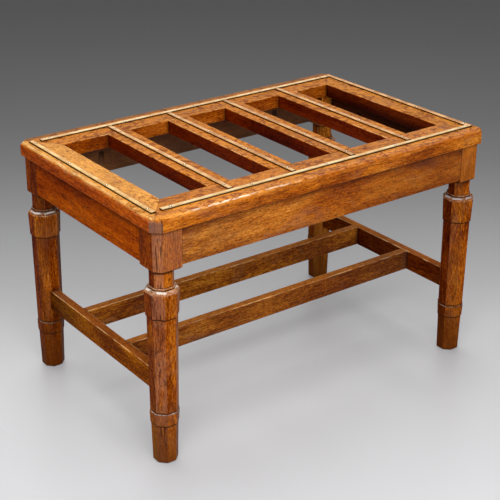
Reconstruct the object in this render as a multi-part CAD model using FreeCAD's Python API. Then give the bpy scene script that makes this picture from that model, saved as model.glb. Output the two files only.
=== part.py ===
import FreeCAD, Part
import math
import os

os.makedirs("parts", exist_ok=True)

# A joined hardwood luggage rack. Millimetres, +Z up, X along the long side, front at -Y.
# The origin is on the floor under the middle of the rack.

# Overall size
top_length = 736.0
top_depth = 466.0
rack_height = 460.0

# Top frame: moulded rails mitred round an opening, with canted corners
top_thickness = 26.0
long_rail_width = 73.0
end_rail_width = 58.0
corner_cant = 15.0
moulding_round = 8.0
moulding_under_round = 2.5
opening_arris = 1.5
tongue_length = 44.0
tongue_width = 26.0
tongue_thickness = 6.0

# Slats across the opening, set a little to the right of the middle
slat_count = 4
slat_width = 46.0
slat_shift = 7.0
slat_arris = 1.5
slat_tenon_length = 18.0
slat_tenon_width = 32.0
slat_tenon_thickness = 9.0

# Legs: square head, octagonal below
leg_overhang = 6.5
head_side = 50.0
head_cant = 11.5
head_wear = 3.5
neck_apothem = 19.3
bead_apothem = 21.8
bead_height = 2.6
groove_apothem = 20.3
groove_height = 1.6
shoulder_apothem = 22.4
shoulder_height = 5.2
collar_top_apothem = 27.8
collar_low_apothem = 26.3
collar_height = 45.3
shaft_top_apothem = 24.5
shaft_low_apothem = 22.8
ring_top_apothem = 24.1
ring_low_apothem = 23.1
ring_height = 23.5
foot_top_apothem = 21.9
foot_low_apothem = 20.2
edge_wear = 1.0
foot_wear = 2.5
neck_length = 29.0
foot_length = 75.0

# Frieze rails tenoned between the leg heads
frieze_height = 66.0
frieze_thickness = 22.0
frieze_set_back = 0.6
frieze_arris = 1.2
head_drop = 7.0
frieze_tenon_length = 20.0
frieze_tenon_thickness = 9.0
frieze_tenon_inset = 6.0
frieze_tenon_shoulder = 8.0

# Stretchers: one at each end, and two long ones between them
stretcher_top = 166.0
stretcher_height = 40.0
stretcher_width = 17.4
stretcher_arris = 2.0
stretcher_tenon_length = 15.0
stretcher_tenon_thickness = 8.0
stretcher_tenon_shoulder = 6.0
long_stretcher_spacing = 149.0
long_tenon_length = 10.0

# Brass strips and the pins that hold them down
strip_width = 9.5
strip_thickness = 2.6
strip_round = 1.6
end_strip_margin = 17.0
long_strip_margin = 32.0
strip_left_gap = 12.0
strip_right_gap = 2.0
slat_strip_gap = 3.0
long_strip_pins = 5
end_strip_pins = 4
pin_end_distance = 18.0
pin_head_radius = 1.7
pin_head_height = 0.9
pin_crown_radius = 0.8
pin_shank_radius = 0.8
pin_shank_length = 10.0
pin_fit = 0.05
pin_sides = 6

# Screws in pockets inside the frieze that pull the top down
screw_length = 42.0
screw_point_length = 5.0
screw_point_radius = 0.6
screw_shank_radius = 2.4
screw_head_radius = 4.6
screw_head_height = 3.2
screw_slot_width = 1.1
screw_slot_depth = 1.4
screw_tilt = 16.0
screw_fit = 0.2
screw_bite = 17.0
screw_sides = 8
pocket_radius = 6.5
pocket_sides = 12
long_frieze_screws = 3
end_frieze_screws = 2

# One gap for glue at the end of every tenon
glue_gap = 1.0
match_tolerance = 0.01

opening_length = top_length - end_rail_width * 2
opening_depth = top_depth - long_rail_width * 2
leg_x = top_length / 2 - leg_overhang - head_side / 2
leg_y = top_depth / 2 - leg_overhang - head_side / 2
head_top = rack_height - top_thickness
frieze_bottom = head_top - frieze_height
head_bottom = frieze_bottom - head_drop
stretcher_bottom = stretcher_top - stretcher_height
long_stretcher_y = long_stretcher_spacing / 2

# The levels of the leg from the floor up
ring_bottom = foot_length
ring_top = ring_bottom + ring_height
bead_top = head_bottom - neck_length
bead_bottom = bead_top - bead_height
groove_bottom = bead_bottom - groove_height
collar_top = groove_bottom - shoulder_height
collar_bottom = collar_top - collar_height

sides_x = (("left", -1), ("right", 1))
sides_y = (("front", -1), ("back", 1))


def vector(x, y, z):
    return FreeCAD.Vector(x, y, z)


def box_between(corner_a, corner_b):
    low = [min(a, b) for a, b in zip(corner_a, corner_b)]
    size = [abs(a - b) for a, b in zip(corner_a, corner_b)]
    return Part.makeBox(size[0], size[1], size[2], vector(*low))


def flat_face(points):
    return Part.Face(Part.makePolygon(points + [points[0]]))


def upright_prism(plan_points, z_low, z_high):
    points = [vector(x, y, z_low) for x, y in plan_points]
    return flat_face(points).extrude(vector(0, 0, z_high - z_low))


def edges_where(shape, test):
    return [edge for edge in shape.Edges if test(edge.BoundBox)]


def at_level(level):
    def test(bounds):
        return (abs(bounds.ZMin - level) < match_tolerance
                and abs(bounds.ZMax - level) < match_tolerance)
    return test


def export_node(shape, name):
    shape.exportStep("parts/" + name + ".step")


def faceted_solid(origin, direction, outline, sides):
    # The outline lists the distance from the axis to a flat, and the place along the axis.
    # Each step of it gets as many flat faces as there are sides.
    turn = FreeCAD.Rotation(vector(0, 0, 1), direction)
    rings = []
    for apothem, place in outline:
        radius = apothem / math.cos(math.pi / sides)
        angles = [math.pi / sides * (2 * side + 1) for side in range(sides)]
        ring = [vector(radius * math.cos(a), radius * math.sin(a), place) for a in angles]
        rings.append([origin + turn.multVec(point) for point in ring])
    faces = [flat_face(rings[0]), flat_face(rings[-1])]
    for low, high in zip(rings, rings[1:]):
        for side in range(sides):
            following = (side + 1) % sides
            faces.append(flat_face([low[side], low[following], high[following], high[side]]))
    return Part.makeSolid(Part.makeShell(faces)).removeSplitter()


def shaft_apothem_at(level):
    share_up = (level - ring_top) / (collar_bottom - ring_top)
    return shaft_low_apothem + (shaft_top_apothem - shaft_low_apothem) * share_up


# Legs

def leg_outline():
    return [
        (foot_low_apothem - foot_wear, 0),
        (foot_low_apothem, foot_wear),
        (foot_top_apothem, ring_bottom),
        (ring_low_apothem - edge_wear / 2, ring_bottom),
        (ring_low_apothem, ring_bottom + edge_wear / 2),
        (ring_top_apothem, ring_top - edge_wear),
        (ring_top_apothem - edge_wear, ring_top),
        (shaft_low_apothem, ring_top),
        (shaft_top_apothem, collar_bottom),
        (collar_low_apothem - edge_wear, collar_bottom),
        (collar_low_apothem, collar_bottom + edge_wear),
        (collar_top_apothem, collar_top - edge_wear),
        (collar_top_apothem - edge_wear / 2, collar_top),
        (shoulder_apothem, groove_bottom),
        (groove_apothem, groove_bottom),
        (groove_apothem, bead_bottom),
        (bead_apothem, bead_bottom),
        (bead_apothem, bead_top - edge_wear / 2),
        (bead_apothem - edge_wear / 2, bead_top),
        (neck_apothem, bead_top),
        (neck_apothem, head_bottom),
    ]


def leg_head(side_x, side_y):
    # Square in plan, with the outer corner canted in line with the octagon below.
    half = head_side / 2
    plan = [(-half, -half), (half, -half), (half, half - head_cant),
            (half - head_cant, half), (-half, half)]
    placed = [(side_x * (leg_x + x), side_y * (leg_y + y)) for x, y in plan]
    head = upright_prism(placed, head_bottom, head_top)
    return head.makeChamfer(head_wear, edges_where(head, at_level(head_bottom)))


def frieze_tenon_box(along, side_x, side_y, extra):
    # The tenon of a frieze rail in the head of one leg; extra lengthens it into a mortise.
    half = head_side / 2
    z_low = frieze_bottom + frieze_tenon_shoulder
    z_high = head_top - frieze_tenon_shoulder
    cheek_out = half - frieze_set_back - frieze_tenon_inset
    cheek_in = cheek_out - frieze_tenon_thickness
    tip = -half + frieze_tenon_length + extra
    if along == "x":
        return box_between(
            (side_x * (leg_x - half), side_y * (leg_y + cheek_in), z_low),
            (side_x * (leg_x + tip), side_y * (leg_y + cheek_out), z_high))
    return box_between(
        (side_x * (leg_x + cheek_in), side_y * (leg_y - half), z_low),
        (side_x * (leg_x + cheek_out), side_y * (leg_y + tip), z_high))


def end_stretcher_tenon_box(side_x, side_y, extra):
    # Starts inside the stretcher so that the sloping shoulder leaves no slot.
    x_half = stretcher_tenon_thickness / 2
    root = leg_y - shaft_low_apothem - stretcher_tenon_length
    tip = leg_y - shaft_low_apothem + stretcher_tenon_length + extra
    return box_between(
        (side_x * leg_x - x_half, side_y * root, stretcher_bottom + stretcher_tenon_shoulder),
        (side_x * leg_x + x_half, side_y * tip, stretcher_top - stretcher_tenon_shoulder))


def leg(side_x, side_y):
    foot = vector(side_x * leg_x, side_y * leg_y, 0)
    lower = faceted_solid(foot, vector(0, 0, 1), leg_outline(), 8)
    body = lower.fuse(leg_head(side_x, side_y)).removeSplitter()
    for along in ("x", "y"):
        body = body.cut(frieze_tenon_box(along, side_x, side_y, glue_gap))
    return body.cut(end_stretcher_tenon_box(side_x, side_y, glue_gap))


# Frieze rails

def long_frieze(side_y):
    half_span = leg_x - head_side / 2
    outer = leg_y + head_side / 2 - frieze_set_back
    rail = box_between(
        (-half_span, side_y * outer, frieze_bottom),
        (half_span, side_y * (outer - frieze_thickness), head_top))
    rail = round_under_edges(rail, "x")
    for _, side_x in sides_x:
        rail = rail.fuse(frieze_tenon_box("x", side_x, side_y, 0))
    return cut_pockets(rail, screws_along_x(side_y)).removeSplitter()


def end_frieze(side_x):
    half_span = leg_y - head_side / 2
    outer = leg_x + head_side / 2 - frieze_set_back
    rail = box_between(
        (side_x * outer, -half_span, frieze_bottom),
        (side_x * (outer - frieze_thickness), half_span, head_top))
    rail = round_under_edges(rail, "y")
    for _, side_y in sides_y:
        rail = rail.fuse(frieze_tenon_box("y", side_x, side_y, 0))
    return cut_pockets(rail, screws_along_y(side_x)).removeSplitter()


def round_under_edges(rail, along):
    def test(bounds):
        run = bounds.XLength if along == "x" else bounds.YLength
        return at_level(frieze_bottom)(bounds) and run > frieze_thickness + match_tolerance
    return rail.makeFillet(frieze_arris, edges_where(rail, test))


# Screws that pull the top down onto the frieze. Each place is a point under the top on the
# middle plane of a frieze rail, with the direction from that rail towards the middle.

def screws_along_x(side_y):
    spread = (leg_x - head_side / 2) / long_frieze_screws
    y = side_y * (leg_y + head_side / 2 - frieze_set_back - frieze_thickness / 2)
    first = -spread * (long_frieze_screws - 1)
    return [((first + 2 * spread * index, y), (0, -side_y)) for index in range(long_frieze_screws)]


def screws_along_y(side_x):
    spread = (leg_y - head_side / 2) / end_frieze_screws
    x = side_x * (leg_x + head_side / 2 - frieze_set_back - frieze_thickness / 2)
    first = -spread * (end_frieze_screws - 1)
    return [((x, first + 2 * spread * index), (-side_x, 0)) for index in range(end_frieze_screws)]


def screw_axis(place):
    # The tip leans outwards, so the head comes out through the inner face of the rail.
    (x, y), (inward_x, inward_y) = place
    lean = math.tan(math.radians(screw_tilt))
    down = vector(inward_x * lean, inward_y * lean, -1)
    down.normalize()
    crossing = vector(x, y, head_top)
    return crossing - down * screw_bite, down


def screw(place):
    tip, down = screw_axis(place)
    neck = screw_length - screw_head_height
    outline = [(screw_point_radius, 0), (screw_shank_radius, screw_point_length),
               (screw_shank_radius, neck), (screw_head_radius, screw_length)]
    slot = box_between(
        (-screw_head_radius * 2, -screw_slot_width / 2, screw_length - screw_slot_depth),
        (screw_head_radius * 2, screw_slot_width / 2, screw_length + screw_slot_depth))
    slot.Placement = FreeCAD.Placement(tip, FreeCAD.Rotation(vector(0, 0, 1), down))
    return faceted_solid(tip, down, outline, screw_sides).cut(slot)


def screw_hole(place):
    # A clearance hole round the shank, and the gouged pocket that its head sits in.
    tip, down = screw_axis(place)
    neck = screw_length - screw_head_height
    outline = [(screw_shank_radius + screw_fit, 0), (screw_shank_radius + screw_fit, neck),
               (screw_head_radius + screw_fit, screw_length)]
    hole = faceted_solid(tip, down, outline, screw_sides)
    pocket = [(pocket_radius, screw_length), (pocket_radius, screw_length + frieze_height)]
    return hole.fuse(faceted_solid(tip, down, pocket, pocket_sides))


def cut_pockets(rail, places):
    for place in places:
        rail = rail.cut(screw_hole(place))
    return rail


# Top frame

def top_blank():
    # The whole moulded ring; the rails are taken out of it along the mitres.
    half_x = top_length / 2
    half_y = top_depth / 2
    plan = []
    for side_x, side_y in ((1, 1), (-1, 1), (-1, -1), (1, -1)):
        long_point = (side_x * (half_x - corner_cant), side_y * half_y)
        end_point = (side_x * half_x, side_y * (half_y - corner_cant))
        plan += [end_point, long_point] if side_x * side_y > 0 else [long_point, end_point]
    blank = upright_prism(plan, head_top, rack_height)
    blank = blank.makeFillet(moulding_round, edges_where(blank, at_level(rack_height)))
    blank = blank.makeFillet(moulding_under_round, edges_where(blank, at_level(head_top)))
    opening = box_between(
        (-opening_length / 2, -opening_depth / 2, head_top),
        (opening_length / 2, opening_depth / 2, rack_height))
    return blank.cut(opening)


def opening_edge_test(along, side):
    # Finds the upper and lower arris of the opening on one rail.
    place = side * (opening_depth if along == "x" else opening_length) / 2

    def test(bounds):
        low, high = (bounds.YMin, bounds.YMax) if along == "x" else (bounds.XMin, bounds.XMax)
        level = bounds.ZLength < match_tolerance
        return level and abs(low - place) < match_tolerance and abs(high - place) < match_tolerance
    return test


def rail_plan(along, side):
    # The plan of one rail between its two mitres, run out past the moulding.
    inner_x = opening_length / 2
    inner_y = opening_depth / 2
    outer_x = inner_x + end_rail_width * 2
    outer_y = inner_y + long_rail_width * 2
    if along == "x":
        return [(-inner_x, side * inner_y), (-outer_x, side * outer_y),
                (outer_x, side * outer_y), (inner_x, side * inner_y)]
    return [(side * inner_x, -inner_y), (side * outer_x, -outer_y),
            (side * outer_x, outer_y), (side * inner_x, inner_y)]


def tongue(side_x, side_y):
    # A loose slip of wood glued across the mitre, hidden in a slot in both rails.
    run = vector(end_rail_width, long_rail_width, 0)
    run.normalize()
    across = vector(-run.y, run.x, 0)
    middle = vector((top_length - end_rail_width) / 2, (top_depth - long_rail_width) / 2, 0)
    corners = []
    for along_sign, across_sign in ((-1, -1), (1, -1), (1, 1), (-1, 1)):
        point = middle + run * (along_sign * tongue_length / 2)
        point = point + across * (across_sign * tongue_width / 2)
        corners.append((side_x * point.x, side_y * point.y))
    z_low = head_top + (top_thickness - tongue_thickness) / 2
    return upright_prism(corners, z_low, z_low + tongue_thickness)


def top_rail(blank, along, side):
    region = upright_prism(rail_plan(along, side), head_top, rack_height)
    rail = blank.common(region)
    rail = rail.makeFillet(opening_arris, edges_where(rail, opening_edge_test(along, side)))
    for _, other in sides_x if along == "x" else sides_y:
        corner = (other, side) if along == "x" else (side, other)
        rail = rail.cut(tongue(*corner))
    if along == "x":
        for index in range(slat_count):
            rail = rail.cut(slat_tenon_box(index, side, glue_gap))
        places = screws_along_x(side)
    else:
        places = screws_along_y(side)
    rail = cut_pockets(rail, places)
    for place in pins_on_rail(along, side):
        rail = rail.cut(pin_hole(place))
    return rail.removeSplitter()


# Slats

def slat_x(index):
    gap = (opening_length - slat_count * slat_width) / (slat_count + 1)
    first = -opening_length / 2 + gap + slat_width / 2 + slat_shift
    return first + index * (gap + slat_width)


def slat_tenon_box(index, side_y, extra):
    z_middle = head_top + top_thickness / 2
    half_width = slat_tenon_width / 2
    half_thickness = slat_tenon_thickness / 2
    root = opening_depth / 2
    return box_between(
        (slat_x(index) - half_width, side_y * root, z_middle - half_thickness),
        (slat_x(index) + half_width, side_y * (root + slat_tenon_length + extra),
         z_middle + half_thickness))


def slat(index):
    half_width = slat_width / 2
    body = box_between(
        (slat_x(index) - half_width, -opening_depth / 2, head_top),
        (slat_x(index) + half_width, opening_depth / 2, rack_height))

    def long_edge(bounds):
        return bounds.YLength > opening_depth - match_tolerance
    body = body.makeFillet(slat_arris, edges_where(body, long_edge))
    for _, side_y in sides_y:
        body = body.fuse(slat_tenon_box(index, side_y, 0))
    for place in slat_pins(index):
        body = body.cut(pin_hole(place))
    return body


# Brass strips

def long_strip_y():
    return top_depth / 2 - long_strip_margin


def end_strip_x():
    return top_length / 2 - end_strip_margin


def strip_bar(corner_a, corner_b, along):
    bar = box_between(
        (corner_a[0], corner_a[1], rack_height),
        (corner_b[0], corner_b[1], rack_height + strip_thickness))

    def upper_long_edge(bounds):
        run = bounds.XLength if along == "x" else bounds.YLength
        return at_level(rack_height + strip_thickness)(bounds) and run > strip_width * 2
    return bar.makeFillet(strip_round, edges_where(bar, upper_long_edge))


def long_strip_ends():
    near_edge = end_strip_x() - strip_width / 2
    return strip_left_gap - near_edge, near_edge - strip_right_gap


def long_strip(side_y):
    left, right = long_strip_ends()
    y = side_y * long_strip_y()
    return strip_bar((left, y - strip_width / 2), (right, y + strip_width / 2), "x")


def end_strip(side_x):
    half_run = long_strip_y() + strip_width / 2
    x = side_x * end_strip_x()
    return strip_bar((x - strip_width / 2, -half_run), (x + strip_width / 2, half_run), "y")


def slat_strip_half_run():
    return long_strip_y() - strip_width / 2 - slat_strip_gap


def slat_strip(index):
    x = slat_x(index)
    half_run = slat_strip_half_run()
    return strip_bar((x - strip_width / 2, -half_run), (x + strip_width / 2, half_run), "y")


def with_pin_holes(strip, places):
    for place in places:
        strip = strip.cut(pin_hole(place))
    return strip


# Pins

def spread_pins(low, high, count):
    first = low + pin_end_distance
    step = (high - pin_end_distance - first) / (count - 1)
    return [first + step * index for index in range(count)]


def long_strip_pin_places(side_y):
    left, right = long_strip_ends()
    return [(x, side_y * long_strip_y()) for x in spread_pins(left, right, long_strip_pins)]


def end_strip_pin_places(side_x):
    half_run = long_strip_y() + strip_width / 2
    return [(side_x * end_strip_x(), y) for y in spread_pins(-half_run, half_run, end_strip_pins)]


def slat_pins(index):
    half_run = slat_strip_half_run()
    return [(slat_x(index), y) for y in spread_pins(-half_run, half_run, end_strip_pins)]


def pins_on_rail(along, side):
    if along == "y":
        return end_strip_pin_places(side)
    ends = [(x, y) for index in range(slat_count) for x, y in slat_pins(index)
            if y * side > opening_depth / 2]
    return long_strip_pin_places(side) + ends


def pin_foot(place):
    return vector(place[0], place[1], rack_height + strip_thickness - pin_shank_length)


def pin_hole(place):
    outline = [(pin_shank_radius + pin_fit, 0), (pin_shank_radius + pin_fit, pin_shank_length)]
    return faceted_solid(pin_foot(place), vector(0, 0, 1), outline, pin_sides)


def pin(place):
    outline = [(pin_shank_radius, 0), (pin_shank_radius, pin_shank_length),
               (pin_head_radius, pin_shank_length),
               (pin_crown_radius, pin_shank_length + pin_head_height)]
    return faceted_solid(pin_foot(place), vector(0, 0, 1), outline, pin_sides)


def pin_group(places):
    return Part.makeCompound([pin(place) for place in places])


# Stretchers

def end_stretcher(side_x):
    # The shoulders are cut to the taper of the leg, so the bar is a trapezium seen from the end.
    x_low = side_x * leg_x - stretcher_width / 2
    half_low = leg_y - shaft_apothem_at(stretcher_bottom)
    half_high = leg_y - shaft_apothem_at(stretcher_top)
    side_view = [vector(x_low, -half_low, stretcher_bottom), vector(x_low, half_low, stretcher_bottom),
                 vector(x_low, half_high, stretcher_top), vector(x_low, -half_high, stretcher_top)]
    bar = flat_face(side_view).extrude(vector(stretcher_width, 0, 0))

    def long_edge(bounds):
        return bounds.YLength > half_high and bounds.ZLength < match_tolerance
    bar = bar.makeFillet(stretcher_arris, edges_where(bar, long_edge))
    for _, side_y in sides_y:
        bar = bar.fuse(end_stretcher_tenon_box(side_x, side_y, 0))
        bar = bar.cut(long_stretcher_tenon_box(side_x, side_y, glue_gap))
    return bar.removeSplitter()


def long_stretcher_tenon_box(side_x, side_y, extra):
    root = leg_x - stretcher_width / 2
    y_half = stretcher_tenon_thickness / 2
    return box_between(
        (side_x * root, side_y * long_stretcher_y - y_half,
         stretcher_bottom + stretcher_tenon_shoulder),
        (side_x * (root + long_tenon_length + extra), side_y * long_stretcher_y + y_half,
         stretcher_top - stretcher_tenon_shoulder))


def long_stretcher(side_y):
    half_run = leg_x - stretcher_width / 2
    y = side_y * long_stretcher_y
    bar = box_between(
        (-half_run, y - stretcher_width / 2, stretcher_bottom),
        (half_run, y + stretcher_width / 2, stretcher_top))

    def long_edge(bounds):
        return bounds.XLength > half_run
    bar = bar.makeFillet(stretcher_arris, edges_where(bar, long_edge))
    for _, side_x in sides_x:
        bar = bar.fuse(long_stretcher_tenon_box(side_x, side_y, 0))
    return bar


# The whole rack, one file for each piece

blank = top_blank()

for name_y, side_y in sides_y:
    export_node(long_frieze(side_y), "frieze_" + name_y)
    export_node(top_rail(blank, "x", side_y), "top_rail_" + name_y)
    export_node(long_stretcher(side_y), "long_stretcher_" + name_y)
    long_places = long_strip_pin_places(side_y)
    export_node(with_pin_holes(long_strip(side_y), long_places), "brass_strip_" + name_y)
    export_node(pin_group(long_places), "strip_pins_" + name_y)
    for name_x, side_x in sides_x:
        corner_name = name_y + "_" + name_x
        export_node(leg(side_x, side_y), "leg_" + corner_name)
        export_node(tongue(side_x, side_y), "mitre_tongue_" + corner_name)

for name_x, side_x in sides_x:
    export_node(end_frieze(side_x), "frieze_" + name_x)
    export_node(top_rail(blank, "y", side_x), "top_rail_" + name_x)
    export_node(end_stretcher(side_x), "end_stretcher_" + name_x)
    end_places = end_strip_pin_places(side_x)
    export_node(with_pin_holes(end_strip(side_x), end_places), "brass_strip_" + name_x)
    export_node(pin_group(end_places), "strip_pins_" + name_x)

for index in range(slat_count):
    number = str(index + 1)
    export_node(slat(index), "slat_" + number)
    export_node(with_pin_holes(slat_strip(index), slat_pins(index)), "brass_strip_slat_" + number)
    export_node(pin_group(slat_pins(index)), "strip_pins_slat_" + number)

screw_places = []
for _, side in sides_x:
    screw_places += screws_along_x(side) + screws_along_y(side)
export_node(Part.makeCompound([screw(place) for place in screw_places]), "pocket_screws")
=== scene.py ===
import bmesh
import bpy
import math
from mathutils import Matrix, Vector


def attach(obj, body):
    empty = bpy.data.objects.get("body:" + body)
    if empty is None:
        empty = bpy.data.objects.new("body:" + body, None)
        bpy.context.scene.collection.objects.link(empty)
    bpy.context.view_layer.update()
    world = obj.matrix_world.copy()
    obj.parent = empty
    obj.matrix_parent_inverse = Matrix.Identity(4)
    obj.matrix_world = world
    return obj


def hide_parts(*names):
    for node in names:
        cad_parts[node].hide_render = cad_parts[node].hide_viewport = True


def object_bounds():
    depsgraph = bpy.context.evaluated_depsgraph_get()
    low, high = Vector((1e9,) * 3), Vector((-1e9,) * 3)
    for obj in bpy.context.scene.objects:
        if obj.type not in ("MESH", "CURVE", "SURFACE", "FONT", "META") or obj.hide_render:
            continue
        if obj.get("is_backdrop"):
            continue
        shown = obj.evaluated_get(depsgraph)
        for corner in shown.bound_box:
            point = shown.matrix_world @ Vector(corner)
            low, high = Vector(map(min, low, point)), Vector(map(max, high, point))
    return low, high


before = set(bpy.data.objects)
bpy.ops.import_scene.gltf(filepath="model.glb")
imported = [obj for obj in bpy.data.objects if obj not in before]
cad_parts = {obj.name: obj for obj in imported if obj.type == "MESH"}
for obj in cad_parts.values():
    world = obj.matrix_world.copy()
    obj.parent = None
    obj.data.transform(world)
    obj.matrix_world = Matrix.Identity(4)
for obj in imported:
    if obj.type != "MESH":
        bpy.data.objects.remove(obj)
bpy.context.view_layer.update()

# Legs. Each is one length of hardwood with a canted square head over an octagon: neck, bead,
# shoulder, collar, tapered shaft, ring and foot, cut with chisel and plane. The arrises are
# rubbed soft, and a dark line of painted shade lies under every step.


def put(tree, kind, values=None, **settings):
    """Adds a node. Its sockets get values, colours as red, green and blue, or links."""
    made = tree.nodes.new(kind)
    for name, value in settings.items():
        setattr(made, name, value)
    for name, value in (values or {}).items():
        socket = made.inputs[name]
        if isinstance(value, bpy.types.NodeSocket):
            tree.links.new(value, socket)
        else:
            socket.default_value = (*value, 1) if socket.type == "RGBA" else value
    return made


def reckon(tree, kind, *values):
    """One step of arithmetic on shares or distances."""
    return put(tree, "ShaderNodeMath", dict(enumerate(values)), operation=kind).outputs[0]


def overlap(tree, share, *others):
    """Where several marks fall together: the product of their shares."""
    for other in others:
        share = reckon(tree, "MULTIPLY", share, other)
    return share


def add_share(tree, marks, share, base):
    """Adds a share of some marks to a base."""
    return reckon(tree, "MULTIPLY_ADD", marks, share, base)


def unsigned(tree, value):
    """Drops the sign, so that left and right, or front and back, count alike."""
    return reckon(tree, "ABSOLUTE", value)


def away_from(tree, value, line):
    """The distance from a line, to either side of it."""
    return unsigned(tree, reckon(tree, "SUBTRACT", value, line))


def remap(tree, value, low, high, to_low=0.0, to_high=1.0):
    """Carries one range of values over to another, with soft ends."""
    return put(tree, "ShaderNodeMapRange", {0: value, 1: low, 2: high, 3: to_low, 4: to_high},
               interpolation_type="SMOOTHSTEP").outputs[0]


def mix_colour(tree, share, under, over, kind="MIX"):
    """Lays a share of one colour over another."""
    return put(tree, "ShaderNodeMix", {0: share, 6: under, 7: over}, data_type="RGBA",
               blend_type=kind).outputs[2]


def graded(tree, value, stops):
    """A colour that runs through a list of stops, each with its place and its colour."""
    made = put(tree, "ShaderNodeValToRGB", {0: value})
    ramp = made.color_ramp.elements
    for end in (0, -1):
        ramp[end].position, ramp[end].color = stops[end][0], (*stops[end][1], 1)
    for place, colour in stops[1:-1]:
        ramp.new(place).color = (*colour, 1)
    return made.outputs[0]


def object_place(tree):
    """The place on the rack, in metres, from the floor under its middle."""
    return put(tree, "ShaderNodeTexCoord").outputs["Object"]


def facing(tree):
    """The way that a face looks, as its X, Y and Z parts."""
    normal = put(tree, "ShaderNodeNewGeometry").outputs["Normal"]
    return put(tree, "ShaderNodeSeparateXYZ", {0: normal}).outputs


def slant(tree):
    """How far a face is turned off square to the rack, and which way."""
    turned = facing(tree)
    return reckon(tree, "MULTIPLY", turned["X"], turned["Y"])


def drawn_out(tree, coords, along, across):
    """Squeezes the place so that marks come so many to the metre each way."""
    return put(tree, "ShaderNodeVectorMath", {0: coords, 1: (along, across, across)},
               operation="MULTIPLY").outputs[0]


def streaks(tree, coords, along, across, detail, roughness, distortion=0.0):
    """Noise drawn out along the grain."""
    return put(tree, "ShaderNodeTexNoise",
               {"Vector": drawn_out(tree, coords, along, across), "Scale": 1.0,
                "Detail": detail, "Roughness": roughness, "Distortion": distortion}).outputs["Fac"]


def corner_dirt_and_shade(tree, reach, packed, clean, amount):
    """Dirt and painted shade in corners, where little of the room is seen from the surface."""
    in_view = put(tree, "ShaderNodeAmbientOcclusion", {"Distance": reach}, samples=8)
    return remap(tree, in_view.outputs["AO"], packed, clean, amount, 0.0)


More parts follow.
